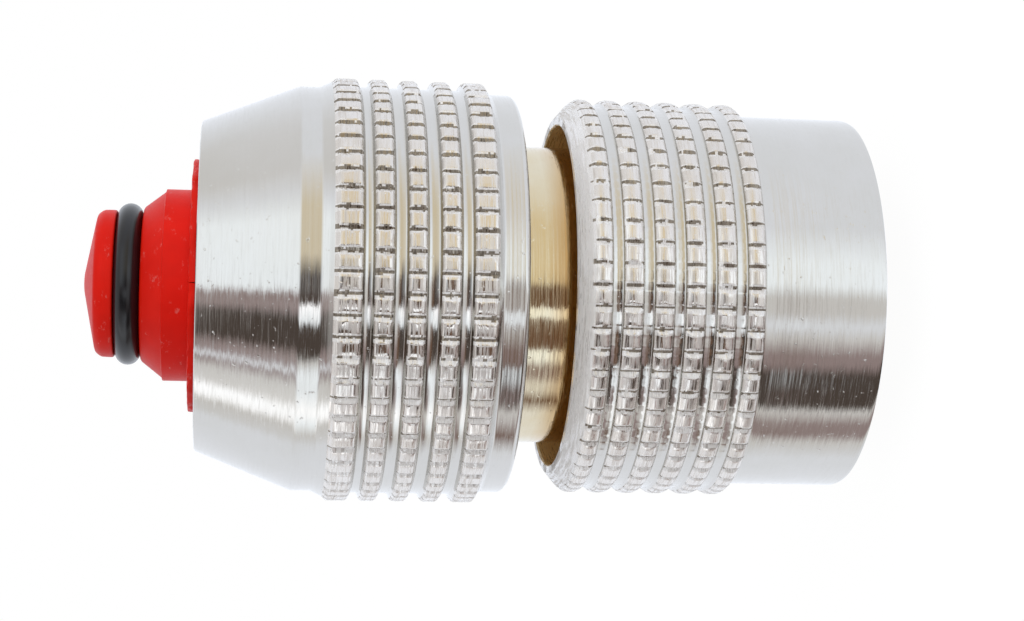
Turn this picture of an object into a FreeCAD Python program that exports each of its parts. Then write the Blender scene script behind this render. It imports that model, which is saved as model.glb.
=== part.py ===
# Garden hose quick connector for 15 mm hose, with a knurled release sleeve and a knurled clamp nut.
# Millimetres. The axis is Z: the hose nut's rear face lies on z = 0 and the red valve nose points up.
import FreeCAD, Part
import math
import os

from FreeCAD import Vector

AXIS = Vector(0, 0, 1)
ORIGIN = Vector(0, 0, 0)

# clearances
RUNNING_GAP = 0.05
LOOSE_GAP = 0.2
THREAD_GAP = 0.1
SEAT_GAP = 0.02

# how far a cutter reaches past what it cuts
CUT_MARGIN = 1.0

# hose nut
NUT_LENGTH = 24.05
NUT_PLAIN_R = 15.24
NUT_PLAIN_LENGTH = 8.5
NUT_RIB_R = 16.17
NUT_RIB_DEPTH = 0.44
NUT_RIB_COUNT = 6
NUT_RIB_PITCH = 2.39
NUT_FIRST_CREST_BACK = 1.7
NUT_RIB_FLAT = 0.8
NUT_FACE_R = 14.85
NUT_MOUTH_R = 14.3
NUT_MOUTH_DEPTH = 2.5
NUT_REAR_ROUND = 0.5
NUT_THREAD_END_Z = 11.2
NUT_HOSE_BORE_R = 10.9
NUT_LIP_LENGTH = 2.0

# hose and its collet
HOSE_R = 10.4
COLLET_TOP_WALL = 2.6
COLLET_CONE_LENGTH = 4.0
COLLET_TIP_WALL = 1.1
COLLET_SLOTS = 6
COLLET_SLOT_WIDTH = 1.6
COLLET_SLOT_LENGTH = 6.0

# brass body
BODY_REAR_Z = 12.6
BODY_THREAD_R = 13.9
BODY_THREAD_LENGTH = 7.0
BODY_THREAD_CHAMFER = 0.5
BODY_NECK_R = 12.13
BODY_NECK_CHAMFER = 0.8
BODY_FLANGE_R = 14.6
BODY_FLANGE_Z = 29.25
BODY_FLANGE_THICK = 1.25
BODY_BARREL_R = 13.2
BODY_SHOULDER_Z = 44.3
BODY_FRONT_R = 11.6
BODY_FRONT_Z = 45.85
BODY_BORE_R = 7.95
BODY_SEAT_R = 5.9
BODY_SEAT_Z = 24.8
BODY_SEAT_THICK = 1.6
BODY_CHAMBER_R = 8.6

# hose tail
TAIL_END_Z = 2.6
TAIL_BARB_R = 7.8
TAIL_BARB_DEPTH = 0.6
TAIL_BARBS = 4
TAIL_BARB_PITCH = 1.9
TAIL_BORE_R = 5.75
TAIL_FLANGE_R = 9.9
TAIL_FLANGE_THICK = 1.2
TAIL_SPIGOT_R = 8.0
TAIL_SPIGOT_LENGTH = 2.0
TAIL_WASHER_THICK = 0.7
TAIL_SPRING_BORE_R = 6.8
TAIL_SPRING_LEDGE = 1.0

# release sleeve
SLEEVE_REAR_Z = 27.85
SLEEVE_LENGTH = 24.95
SLEEVE_REAR_R = 16.24
SLEEVE_BAND_R = 17.12
SLEEVE_GROOVE_R = 16.46
SLEEVE_BAND_BEVEL = 0.3
SLEEVE_BANDS = [(2.65, 4.05), (5.55, 6.5), (8.1, 9.0), (10.55, 11.5), (12.85, 14.35)]
SLEEVE_CAVITY_STEP = 1.25
SLEEVE_FRONT_BAND = (15.65, 17.25)
SLEEVE_TIP_R = 13.3
SLEEVE_TIP_ROUND = 0.4
SLEEVE_EDGE_CHAMFER = 0.35
SLEEVE_BORE_R = 14.75
SLEEVE_GUIDE_Z = 12.65
SLEEVE_GUIDE_LENGTH = 4.7
SLEEVE_CONE_WALL = 1.7
SLEEVE_MOUTH_R = 10.5
SLEEVE_LIP_THICK = 1.0

# snap ring that stops the sleeve on the body's flange
STOP_RING_THICK = 0.9
STOP_RING_R = 15.2
STOP_RING_DEPTH_IN_SLEEVE = 0.4
STOP_RING_GAP_WIDTH = 4.0

# claws and their retaining ring
CLAW_COUNT = 4
CLAW_SLIT = 0.2
CLAW_TRAVEL = 0.7
CLAW_GRIP_THICK = 1.75
CLAW_FRONT_PROUD = 0.6
CLAW_FRONT_R = 10.17
CLAW_WAIST_R = 9.45
CLAW_POCKET_R = 8.8
CLAW_FOOT_R = 10.9
CLAW_FOOT_THICK = 1.05
RETAINER_LIP_THICK = 0.65
RETAINER_BASE_R = 12.75
RETAINER_MIDDLE_R = 12.45
RETAINER_TOP_R = 11.75

# valve plunger and its parts
PLUNGER_R = 7.75
PLUNGER_SHOULDER_Z = 55.5
PLUNGER_SKIRT_Z = 40.0
PLUNGER_STEP = 0.2
PLUNGER_CHAMFER_END_R = 6.2
PLUNGER_CHAMFER_LENGTH = 1.75
NOSE_RING_WIRE_R = 1.0
NOSE_RING_OUTER_R = 6.5
NOSE_DISC_R = 5.95
NOSE_DISC_THICK = 1.15
NOSE_DISC_ROUND = 0.35
NOSE_CONE_HEIGHT = 1.35
NOSE_TIP_R = 0.7
STEM_R = 2.2
STEM_FIN_THICK = 1.6
STEM_PIN_R = 1.45
FLUTE_WIDTH = 4.0
FLUTE_DEPTH = 1.5
FLUTE_COUNT = 4
VALVE_HEAD_R = 7.4
VALVE_HEAD_THICK = 1.6
VALVE_HUB_R = 5.3
VALVE_SEAL_THICK = 1.5
VALVE_SEAL_R = 7.2

# springs
VALVE_SPRING_WIRE = 0.6
VALVE_SPRING_R = 6.0
VALVE_SPRING_TURNS = 4.5
SLEEVE_SPRING_WIRE = 0.9
SLEEVE_SPRING_R = 13.95
SLEEVE_SPRING_TURNS = 4.0

# sizes and places that follow from the values above
SLEEVE_GUIDE_R = BODY_BARREL_R + LOOSE_GAP
SLEEVE_FRONT_BAND_R = SLEEVE_GUIDE_R + SLEEVE_CAVITY_STEP + SLEEVE_CONE_WALL
TAIL_FLANGE_TOP_Z = BODY_REAR_Z - TAIL_WASHER_THICK - SEAT_GAP
TAIL_FLANGE_Z = TAIL_FLANGE_TOP_Z - TAIL_FLANGE_THICK
TAIL_TOP_Z = BODY_REAR_Z + TAIL_SPIGOT_LENGTH
TAIL_LEDGE_Z = TAIL_FLANGE_Z + TAIL_SPRING_LEDGE
VALVE_SEAL_Z = BODY_SEAT_Z - RUNNING_GAP - VALVE_SEAL_THICK
VALVE_HEAD_Z = VALVE_SEAL_Z - VALVE_HEAD_THICK
STEM_FOOT_Z = BODY_SEAT_Z + RUNNING_GAP
FLANGE_TOP_Z = BODY_FLANGE_Z + BODY_FLANGE_THICK
SLEEVE_FRONT_Z = SLEEVE_REAR_Z + SLEEVE_LENGTH
CLAW_FRONT_Z = SLEEVE_FRONT_Z + CLAW_FRONT_PROUD
CLAW_FOOT_Z = BODY_FRONT_Z + RUNNING_GAP
CLAW_FOOT_TOP_Z = CLAW_FOOT_Z + CLAW_FOOT_THICK
RETAINER_TOP_Z = CLAW_FOOT_TOP_Z + RUNNING_GAP + RETAINER_LIP_THICK
CLAW_WAIST_Z = RETAINER_TOP_Z + SLEEVE_LIP_THICK + LOOSE_GAP


def turned(points):
    """Revolve a closed outline of (radius, z) points. A point (r, z, mid_r, mid_z) is reached by an arc."""
    edges = []
    last = Vector(points[-1][0], 0, points[-1][1])
    for point in points:
        here = Vector(point[0], 0, point[1])
        if len(point) == 4:
            middle = Vector(point[2], 0, point[3])
            edges.append(Part.Arc(last, middle, here).toShape())
        else:
            edges.append(Part.LineSegment(last, here).toShape())
        last = here
    return Part.Face(Part.Wire(edges)).revolve(ORIGIN, AXIS, 360)


def rounded(corner_r, corner_z, size, start, end):
    """Two outline points that round a corner; start and end say which way the outline comes and goes."""
    from_r = corner_r + start[0] * size
    from_z = corner_z + start[1] * size
    to_r = corner_r + end[0] * size
    to_z = corner_z + end[1] * size
    bulge = 1 - math.sqrt(0.5)
    mid_r = corner_r + (start[0] + end[0]) * size * bulge
    mid_z = corner_z + (start[1] + end[1]) * size * bulge
    return [(from_r, from_z), (to_r, to_z, mid_r, mid_z)]


def ring(inner_r, outer_r, low_z, high_z):
    return turned([(inner_r, low_z), (outer_r, low_z), (outer_r, high_z), (inner_r, high_z)])


def box(width, depth, height, low_x, low_z):
    """A box centred on y = 0, from low_x along X and from low_z up."""
    return Part.makeBox(width, depth, height, Vector(low_x, -depth / 2, low_z))


def around(shape, count, start=0.0):
    """Copies of a shape, evenly spaced about the axis."""
    copies = []
    for index in range(count):
        copy = shape.copy()
        copy.rotate(ORIGIN, AXIS, start + 360.0 * index / count)
        copies.append(copy)
    return copies


def coil(mean_r, wire, low_z, high_z, turns):
    """A closed-end spring of square wire between two levels."""
    pitch = (high_z - low_z - wire) / turns
    path = Part.makeHelix(pitch, pitch * turns, mean_r)
    half = wire / 2
    corners = [
        Vector(mean_r - half, 0, -half),
        Vector(mean_r + half, 0, -half),
        Vector(mean_r + half, 0, half),
        Vector(mean_r - half, 0, half),
    ]
    section = Part.makePolygon(corners + corners[:1])
    spring = Part.Wire(path).makePipeShell([section], True, True)
    spring.translate(Vector(0, 0, low_z + half))
    return spring


def main_body():
    thread_top = BODY_REAR_Z + BODY_THREAD_LENGTH
    seat_top = BODY_SEAT_Z + BODY_SEAT_THICK
    outline = [
        (BODY_CHAMBER_R, BODY_REAR_Z),
        (BODY_THREAD_R - BODY_THREAD_CHAMFER, BODY_REAR_Z),
        (BODY_THREAD_R, BODY_REAR_Z + BODY_THREAD_CHAMFER),
        (BODY_THREAD_R, thread_top),
    ]
    outline += [
        (BODY_NECK_R + BODY_NECK_CHAMFER, thread_top),
        (BODY_NECK_R, thread_top + BODY_NECK_CHAMFER),
        (BODY_NECK_R, BODY_FLANGE_Z - BODY_NECK_CHAMFER),
        (BODY_NECK_R + BODY_NECK_CHAMFER, BODY_FLANGE_Z),
        (BODY_FLANGE_R, BODY_FLANGE_Z),
        (BODY_FLANGE_R, FLANGE_TOP_Z),
        (BODY_BARREL_R, FLANGE_TOP_Z),
        (BODY_BARREL_R, BODY_SHOULDER_Z),
        (BODY_FRONT_R, BODY_SHOULDER_Z),
        (BODY_FRONT_R, BODY_FRONT_Z),
        (BODY_BORE_R, BODY_FRONT_Z),
        (BODY_BORE_R, seat_top),
        (BODY_SEAT_R, seat_top),
        (BODY_SEAT_R, BODY_SEAT_Z),
        (BODY_CHAMBER_R, BODY_SEAT_Z),
    ]
    return turned(outline)


def hose_tail():
    outline = [(TAIL_BORE_R, TAIL_END_Z)]
    valley = TAIL_BARB_R - TAIL_BARB_DEPTH
    for index in range(TAIL_BARBS):
        low = TAIL_END_Z + index * TAIL_BARB_PITCH
        outline.append((valley, low))
        outline.append((TAIL_BARB_R, low + TAIL_BARB_PITCH))
    outline += [
        (valley, TAIL_END_Z + TAIL_BARBS * TAIL_BARB_PITCH),
        (valley, TAIL_FLANGE_Z),
        (TAIL_FLANGE_R, TAIL_FLANGE_Z),
        (TAIL_FLANGE_R, TAIL_FLANGE_TOP_Z),
        (TAIL_SPIGOT_R, TAIL_FLANGE_TOP_Z),
        (TAIL_SPIGOT_R, TAIL_TOP_Z),
        (TAIL_SPRING_BORE_R, TAIL_TOP_Z),
        (TAIL_SPRING_BORE_R, TAIL_LEDGE_Z),
        (TAIL_BORE_R, TAIL_LEDGE_Z),
    ]
    return turned(outline)


def tail_washer():
    return ring(TAIL_SPIGOT_R + SEAT_GAP, TAIL_FLANGE_R, TAIL_FLANGE_TOP_Z, BODY_REAR_Z - SEAT_GAP)


def hose_collet():
    """A ring under the body's rear face, with a coned skirt of fingers round the hose."""
    top = BODY_REAR_Z - RUNNING_GAP
    low = NUT_LIP_LENGTH + LOOSE_GAP
    outer = HOSE_R + COLLET_TOP_WALL
    tip = HOSE_R + COLLET_TIP_WALL
    shape = turned(
        [(HOSE_R, low), (tip, low), (outer, low + COLLET_CONE_LENGTH), (outer, top), (HOSE_R, top)]
    )
    slot = box(2 * outer, COLLET_SLOT_WIDTH, COLLET_SLOT_LENGTH + CUT_MARGIN, 0, low - CUT_MARGIN)
    return shape.cut(around(slot, COLLET_SLOTS))


def hose_nut():
    cone_low_r = HOSE_R + COLLET_TIP_WALL + LOOSE_GAP
    cone_high_r = HOSE_R + COLLET_TOP_WALL + LOOSE_GAP
    cone_low_z = NUT_LIP_LENGTH + RUNNING_GAP
    thread_r = BODY_THREAD_R + THREAD_GAP
    mouth_z = NUT_LENGTH - NUT_MOUTH_DEPTH
    valley = NUT_RIB_R - NUT_RIB_DEPTH
    first_crest = NUT_LENGTH - NUT_FIRST_CREST_BACK
    half_flat = NUT_RIB_FLAT / 2
    half_pitch = NUT_RIB_PITCH / 2
    outline = [(NUT_HOSE_BORE_R, 0)]
    outline += rounded(NUT_PLAIN_R, 0, NUT_REAR_ROUND, (-1, 0), (0, 1))
    outline.append((NUT_PLAIN_R, NUT_PLAIN_LENGTH))
    for index in reversed(range(NUT_RIB_COUNT)):
        crest = first_crest - index * NUT_RIB_PITCH
        outline.append((NUT_RIB_R, crest - half_flat))
        outline.append((NUT_RIB_R, crest + half_flat))
        if index:
            outline.append((valley, crest + half_pitch))
    outline += [
        (NUT_FACE_R, NUT_LENGTH),
        (NUT_MOUTH_R, NUT_LENGTH),
        (NUT_MOUTH_R, mouth_z),
        (thread_r, mouth_z),
        (thread_r, NUT_THREAD_END_Z),
        (cone_high_r, NUT_THREAD_END_Z),
        (cone_high_r, cone_low_z + COLLET_CONE_LENGTH),
        (cone_low_r, cone_low_z),
        (cone_low_r, NUT_LIP_LENGTH),
        (NUT_HOSE_BORE_R, NUT_LIP_LENGTH),
    ]
    return turned(outline)


def sleeve_outside():
    """The sleeve's outer outline, from its rear face to its front face."""
    rear = SLEEVE_REAR_Z
    first_band = rear + SLEEVE_BANDS[0][0]
    points = [
        (SLEEVE_REAR_R - SLEEVE_EDGE_CHAMFER, rear),
        (SLEEVE_REAR_R, rear + SLEEVE_EDGE_CHAMFER),
        (SLEEVE_REAR_R, first_band - SLEEVE_EDGE_CHAMFER),
    ]
    for index, (low, high) in enumerate(SLEEVE_BANDS):
        if index:
            points.append((SLEEVE_GROOVE_R, rear + low - SLEEVE_BAND_BEVEL))
        points.append((SLEEVE_BAND_R, rear + low))
        points.append((SLEEVE_BAND_R, rear + high))
        if index < len(SLEEVE_BANDS) - 1:
            points.append((SLEEVE_GROOVE_R, rear + high + SLEEVE_BAND_BEVEL))
    points.append((SLEEVE_FRONT_BAND_R, rear + SLEEVE_FRONT_BAND[0]))
    points.append((SLEEVE_FRONT_BAND_R, rear + SLEEVE_FRONT_BAND[1]))
    return points + rounded(SLEEVE_TIP_R, SLEEVE_FRONT_Z, SLEEVE_TIP_ROUND, (cone_slope(), -1), (-1, 0))


def cone_slope():
    """How much the cone's radius falls for each millimetre forward."""
    length = SLEEVE_LENGTH - SLEEVE_FRONT_BAND[1]
    return (SLEEVE_FRONT_BAND_R - SLEEVE_TIP_R) / length


def release_sleeve():
    rear = SLEEVE_REAR_Z
    guide_low = rear + SLEEVE_GUIDE_Z
    guide_high = guide_low + SLEEVE_GUIDE_LENGTH
    lip_z = SLEEVE_FRONT_Z - SLEEVE_LIP_THICK
    cone_start = rear + SLEEVE_FRONT_BAND[1]
    cavity_low_r = SLEEVE_FRONT_BAND_R - SLEEVE_CONE_WALL - cone_slope() * (guide_high - cone_start)
    cavity_high_r = SLEEVE_FRONT_BAND_R - SLEEVE_CONE_WALL - cone_slope() * (lip_z - cone_start)
    ring_low = rear + STOP_RING_DEPTH_IN_SLEEVE
    ring_high = BODY_FLANGE_Z
    ring_r = STOP_RING_R + RUNNING_GAP
    inside = [
        (SLEEVE_MOUTH_R, SLEEVE_FRONT_Z),
        (SLEEVE_MOUTH_R, lip_z),
        (cavity_high_r, lip_z),
        (cavity_low_r, guide_high),
        (SLEEVE_GUIDE_R, guide_high),
        (SLEEVE_GUIDE_R, guide_low),
        (SLEEVE_BORE_R, guide_low),
        (SLEEVE_BORE_R, ring_high),
        (ring_r, ring_high),
        (ring_r, ring_low),
        (SLEEVE_BORE_R, ring_low),
        (SLEEVE_BORE_R, rear),
    ]
    return turned(sleeve_outside() + inside)


def stop_ring():
    low = BODY_FLANGE_Z - RUNNING_GAP - STOP_RING_THICK
    shape = ring(BODY_NECK_R + LOOSE_GAP + BODY_NECK_CHAMFER, STOP_RING_R, low, low + STOP_RING_THICK)
    height = STOP_RING_THICK + 2 * CUT_MARGIN
    return shape.cut(box(2 * STOP_RING_R, STOP_RING_GAP_WIDTH, height, 0, low - CUT_MARGIN))


def claws():
    """Four quarter claws: a foot on the body's front face, a waist and a grip lip in the mouth."""
    grip_r = PLUNGER_R + LOOSE_GAP
    outline = [
        (CLAW_POCKET_R, CLAW_FOOT_Z),
        (CLAW_FOOT_R, CLAW_FOOT_Z),
        (CLAW_FOOT_R, CLAW_FOOT_TOP_Z),
        (CLAW_WAIST_R, CLAW_FOOT_TOP_Z),
        (CLAW_WAIST_R, CLAW_WAIST_Z),
        (CLAW_FRONT_R, SLEEVE_FRONT_Z),
        (CLAW_FRONT_R, CLAW_FRONT_Z),
        (grip_r, CLAW_FRONT_Z),
        (grip_r, CLAW_FRONT_Z - CLAW_GRIP_THICK),
        (CLAW_POCKET_R, CLAW_FRONT_Z - CLAW_GRIP_THICK - (CLAW_POCKET_R - grip_r)),
    ]
    whole = turned(outline)
    height = CLAW_FRONT_Z - CLAW_FOOT_Z + 2 * CUT_MARGIN
    corner = CLAW_SLIT / 2
    quarter = Part.makeBox(CLAW_FOOT_R, CLAW_FOOT_R, height, Vector(corner, corner, CLAW_FOOT_Z - CUT_MARGIN))
    first = whole.common(quarter)
    return around(first, CLAW_COUNT)


def claw_retainer():
    inner = BODY_FRONT_R + RUNNING_GAP
    lip_r = CLAW_WAIST_R + CLAW_TRAVEL + LOOSE_GAP
    lip_z = CLAW_FOOT_TOP_Z + RUNNING_GAP
    base_z = BODY_SHOULDER_Z + SEAT_GAP
    return turned(
        [
            (inner, base_z),
            (RETAINER_BASE_R, base_z),
            (RETAINER_MIDDLE_R, BODY_FRONT_Z),
            (RETAINER_TOP_R, RETAINER_TOP_Z),
            (lip_r, RETAINER_TOP_Z),
            (lip_r, lip_z),
            (inner, lip_z),
        ]
    )


def nose_levels():
    """The nose's levels: chamfer end, the O-ring's centre, disc foot, disc rim and tip."""
    chamfer_end = PLUNGER_SHOULDER_Z + PLUNGER_CHAMFER_LENGTH
    ring_centre = chamfer_end + NOSE_RING_WIRE_R + RUNNING_GAP
    disc_foot = ring_centre + NOSE_RING_WIRE_R + RUNNING_GAP
    disc_rim = disc_foot + NOSE_DISC_THICK
    return chamfer_end, ring_centre, disc_foot, disc_rim, disc_rim + NOSE_CONE_HEIGHT


def valve_plunger():
    chamfer_end, ring_centre, disc_foot, disc_rim, tip = nose_levels()
    groove_r = NOSE_RING_OUTER_R - 2 * NOSE_RING_WIRE_R - SEAT_GAP
    outline = [
        (0, PLUNGER_SKIRT_Z),
        (PLUNGER_R, PLUNGER_SKIRT_Z),
        (PLUNGER_R, PLUNGER_SHOULDER_Z),
        (PLUNGER_R - PLUNGER_STEP, PLUNGER_SHOULDER_Z),
        (PLUNGER_CHAMFER_END_R, chamfer_end),
        (groove_r, chamfer_end),
        (groove_r, disc_foot),
        (NOSE_DISC_R, disc_foot),
        (NOSE_DISC_R, disc_rim - NOSE_DISC_ROUND),
        (NOSE_DISC_R - NOSE_DISC_ROUND, disc_rim),
        (NOSE_TIP_R, tip),
        (0, tip),
    ]
    head = turned(outline)
    flute_low = PLUNGER_SKIRT_Z - CUT_MARGIN
    flute_height = SLEEVE_FRONT_Z - CUT_MARGIN - flute_low
    flute = box(FLUTE_DEPTH + CUT_MARGIN, FLUTE_WIDTH, flute_height, PLUNGER_R - FLUTE_DEPTH, flute_low)
    head = head.cut(around(flute, FLUTE_COUNT, 45.0))
    stem = Part.makeCylinder(STEM_R, PLUNGER_SKIRT_Z - STEM_FOOT_Z, Vector(0, 0, STEM_FOOT_Z))
    fin_r = BODY_SEAT_R - LOOSE_GAP
    fin = box(2 * fin_r, STEM_FIN_THICK, PLUNGER_SKIRT_Z - STEM_FOOT_Z, -fin_r, STEM_FOOT_Z)
    pin = Part.makeCylinder(STEM_PIN_R, STEM_FOOT_Z - VALVE_HEAD_Z, Vector(0, 0, VALVE_HEAD_Z))
    return head.fuse([stem, pin] + around(fin, 2)).removeSplitter()


def nose_ring():
    ring_centre = nose_levels()[1]
    centre_r = NOSE_RING_OUTER_R - NOSE_RING_WIRE_R
    return Part.makeTorus(centre_r, NOSE_RING_WIRE_R, Vector(0, 0, ring_centre))


def valve_head():
    bore = STEM_PIN_R + SEAT_GAP
    return turned(
        [
            (bore, VALVE_HEAD_Z),
            (VALVE_HEAD_R, VALVE_HEAD_Z),
            (VALVE_HEAD_R, VALVE_SEAL_Z),
            (VALVE_HUB_R, VALVE_SEAL_Z),
            (VALVE_HUB_R, STEM_FOOT_Z),
            (bore, STEM_FOOT_Z),
        ]
    )


def valve_seal():
    return ring(VALVE_HUB_R + SEAT_GAP, VALVE_SEAL_R, VALVE_SEAL_Z, VALVE_SEAL_Z + VALVE_SEAL_THICK)


def valve_spring():
    low = TAIL_LEDGE_Z + RUNNING_GAP
    high = VALVE_HEAD_Z - RUNNING_GAP
    return coil(VALVE_SPRING_R, VALVE_SPRING_WIRE, low, high, VALVE_SPRING_TURNS)


def sleeve_spring():
    low = FLANGE_TOP_Z + RUNNING_GAP
    high = SLEEVE_REAR_Z + SLEEVE_GUIDE_Z - RUNNING_GAP
    return coil(SLEEVE_SPRING_R, SLEEVE_SPRING_WIRE, low, high, SLEEVE_SPRING_TURNS)


def build():
    nodes = {
        "main_body": main_body(),
        "hose_tail": hose_tail(),
        "tail_washer": tail_washer(),
        "hose_collet": hose_collet(),
        "hose_nut": hose_nut(),
        "release_sleeve": release_sleeve(),
        "sleeve_spring": sleeve_spring(),
        "stop_ring": stop_ring(),
        "claw_retainer": claw_retainer(),
        "valve_plunger": valve_plunger(),
        "nose_ring": nose_ring(),
        "valve_head": valve_head(),
        "valve_seal": valve_seal(),
        "valve_spring": valve_spring(),
    }
    for number, claw in enumerate(claws(), 1):
        nodes["claw_%d" % number] = claw
    return nodes


os.makedirs("parts", exist_ok=True)
for name, shape in build().items():
    solids = shape.Solids
    solid = solids[0] if len(solids) == 1 else Part.makeCompound(solids)
    solid.exportStep("parts/%s.step" % name)
    print("%-16s %d solid, %9.2f mm3, valid %s" % (name, len(solids), solid.Volume, solid.isValid()))
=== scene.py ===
# A garden hose quick connector that stands on its hose end, seen from the side by a camera that is rolled.
# Sizes are in millimetres until lathe() and the stage turn them into metres.
import math
import random

import bmesh
import bpy
from mathutils import Matrix, Vector, noise as random_field

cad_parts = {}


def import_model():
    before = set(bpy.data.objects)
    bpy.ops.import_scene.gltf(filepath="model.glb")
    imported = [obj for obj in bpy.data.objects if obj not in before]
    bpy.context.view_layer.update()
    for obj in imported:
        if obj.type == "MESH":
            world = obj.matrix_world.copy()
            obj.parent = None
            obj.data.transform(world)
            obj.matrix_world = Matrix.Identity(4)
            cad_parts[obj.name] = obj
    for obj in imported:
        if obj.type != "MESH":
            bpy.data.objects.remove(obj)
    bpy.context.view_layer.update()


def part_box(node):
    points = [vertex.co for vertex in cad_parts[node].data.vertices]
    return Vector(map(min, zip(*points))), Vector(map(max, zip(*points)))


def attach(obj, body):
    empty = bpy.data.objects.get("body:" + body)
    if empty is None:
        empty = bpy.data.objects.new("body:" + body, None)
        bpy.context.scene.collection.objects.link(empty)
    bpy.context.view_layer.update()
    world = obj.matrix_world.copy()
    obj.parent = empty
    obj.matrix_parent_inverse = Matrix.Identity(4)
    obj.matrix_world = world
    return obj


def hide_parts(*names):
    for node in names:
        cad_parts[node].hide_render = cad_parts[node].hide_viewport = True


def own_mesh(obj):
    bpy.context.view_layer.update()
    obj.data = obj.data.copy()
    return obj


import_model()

MM = 0.001
TURN = 2 * math.pi
random.seed(7)

# the camera, solved from the photograph's outline: focal length in pixels, place in millimetres
IMAGE_WIDTH = 1024
FOCAL_PIXELS = 2105.6
CAMERA_PLACE = (-3.93, -172.08, 49.17)
CAMERA_YAW = math.radians(7.273)
CAMERA_PITCH = math.radians(0.856)
CAMERA_ROLL = math.radians(1.376)
SENSOR = 36.0
CAMERA_CLIP = (0.005, 20.0)


def node_z(node):
    """The lowest and highest level of a CAD node, in millimetres."""
    low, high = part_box(node)
    return low[2] / MM, high[2] / MM


def node_r(node):
    """The largest radius of a round CAD node, in millimetres."""
    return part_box(node)[1][1] / MM


NUT_TOP = node_z("hose_nut")[1]
NUT_R = node_r("hose_nut")
SLEEVE_LOW, SLEEVE_TOP = node_z("release_sleeve")
SLEEVE_R = node_r("release_sleeve")
BODY_LOW, BODY_TOP = node_z("main_body")

# in degrees, the bend from which an edge is shaded as a crease
SHARP_ANGLE = 38.0
COIL_SHARP_ANGLE = 60.0
# two places or radii closer than this are the same
SAME = 1e-6
# corners that bend less than this, and rounds shorter than this, are left as they are
SLIGHT_BEND = math.radians(6)
SHORTEST_ROUND = 0.004
# the largest share of a side that the round at one of its corners may take
ROUND_SHARE = 0.45


def rows_between(start, end, count):
    """Points from start up to but not including end."""
    return [
        (start[0] + (end[0] - start[0]) * k / count, start[1] + (end[1] - start[1]) * k / count)
        for k in range(count)
    ]


def soften(points, size, steps=3):
    """A closed outline with its corners rounded, each by a curve of at most the given size on each side."""
    result = []
    count = len(points)
    for index, point in enumerate(points):
        here = Vector(point)
        before = Vector(points[index - 1]) - here
        after = Vector(points[(index + 1) % count]) - here
        if before.length < SAME or after.length < SAME:
            continue
        if here.x == 0:
            result.append(tuple(here))
            continue
        bend = math.pi - before.angle(after)
        reach = min(size, ROUND_SHARE * before.length, ROUND_SHARE * after.length)
        if bend < SLIGHT_BEND or reach < SHORTEST_ROUND:
            result.append(tuple(here))
            continue
        first = here + before.normalized() * reach
        last = here + after.normalized() * reach
        for step in range(steps + 1):
            t = step / steps
            spot = first * (1 - t) ** 2 + here * 2 * t * (1 - t) + last * t**2
            result.append(tuple(spot))
    return result


def even_columns(count):
    """Angles spread evenly round the axis."""
    return [TURN * k / count for k in range(count)]


def mesh_object(name, verts, faces):
    """An object in the scene with the given mesh, its points in millimetres."""
    mesh = bpy.data.meshes.new(name)
    mesh.from_pydata([Vector(v) * MM for v in verts], [], faces)
    mesh.update()
    obj = bpy.data.objects.new(name, mesh)
    bpy.context.scene.collection.objects.link(obj)
    return obj


def finish_mesh(obj, sharp_angle=SHARP_ANGLE):
    """Outward normals and smooth shading with sharp creases."""
    mesh = obj.data
    work = bmesh.new()
    work.from_mesh(mesh)
    bmesh.ops.recalc_face_normals(work, faces=work.faces)
    for face in work.faces:
        face.smooth = True
    for edge in work.edges:
        if len(edge.link_faces) == 2:
            edge.smooth = edge.calc_face_angle(0.0) < math.radians(sharp_angle)
    work.to_mesh(mesh)
    work.free()
    return obj


def outline_normals(points):
    """The normals of the outline before and after each of its points, blended where the bend is slight."""
    result = []
    for index, point in enumerate(points):
        here = Vector(point)
        arriving = here - Vector(points[index - 1])
        leaving = Vector(points[(index + 1) % len(points)]) - here
        before = Vector((arriving.y, -arriving.x))
        after = Vector((leaving.y, -leaving.x))
        if before.length > 0 and after.length > 0 and before.angle(after) < math.radians(SHARP_ANGLE):
            before = after = before + after
        result.append((before.normalized(), after.normalized()))
    return result


def straighten(obj, points, width, plain):
    """Give the points that kept the outline's radius the outline's own normals."""
    mesh = obj.data
    sides = outline_normals(points)
    normals = [Vector(corner.vector) for corner in mesh.corner_normals]
    for face in mesh.polygons:
        row = face.index // width
        for loop in face.loop_indices:
            spot = mesh.loops[loop].vertex_index
            if spot >= len(plain) or not plain[spot]:
                continue
            before, after = sides[spot // width]
            flat = after if spot // width == row else before
            place = mesh.vertices[spot].co
            reach = math.hypot(place.x, place.y)
            normal = Vector((flat.x * place.x / reach, flat.x * place.y / reach, flat.y))
            normals[loop] = normal if normal.dot(face.normal) > 0 else -normal
    mesh.normals_split_custom_set(normals)
    return obj


def turned_points(rows, columns, shape):
    """Points on rings, and for each whether it kept the outline's radius."""
    verts = []
    plain = []
    for r, z in rows:
        for angle in columns:
            radius = shape(r, z, angle) if shape else r
            verts.append((radius * math.cos(angle), radius * math.sin(angle), z))
            plain.append(abs(radius - r) < SAME)
    return verts, plain


def ring_faces(row, after, width):
    """The faces between two rings of points."""
    faces = []
    for k in range(width):
        beside = (k + 1) % width
        faces.append((row * width + k, row * width + beside, after * width + beside, after * width + k))
    return faces


def lathe(name, points, columns, shape=None):
    """Turn a closed outline of (radius, z) points about Z. shape(r, z, angle) may change a point's radius."""
    verts, plain = turned_points(points, columns, shape)
    faces = []
    for row in range(len(points)):
        faces += ring_faces(row, (row + 1) % len(points), len(columns))
    return straighten(finish_mesh(mesh_object(name, verts, faces)), points, len(columns), plain)


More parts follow.
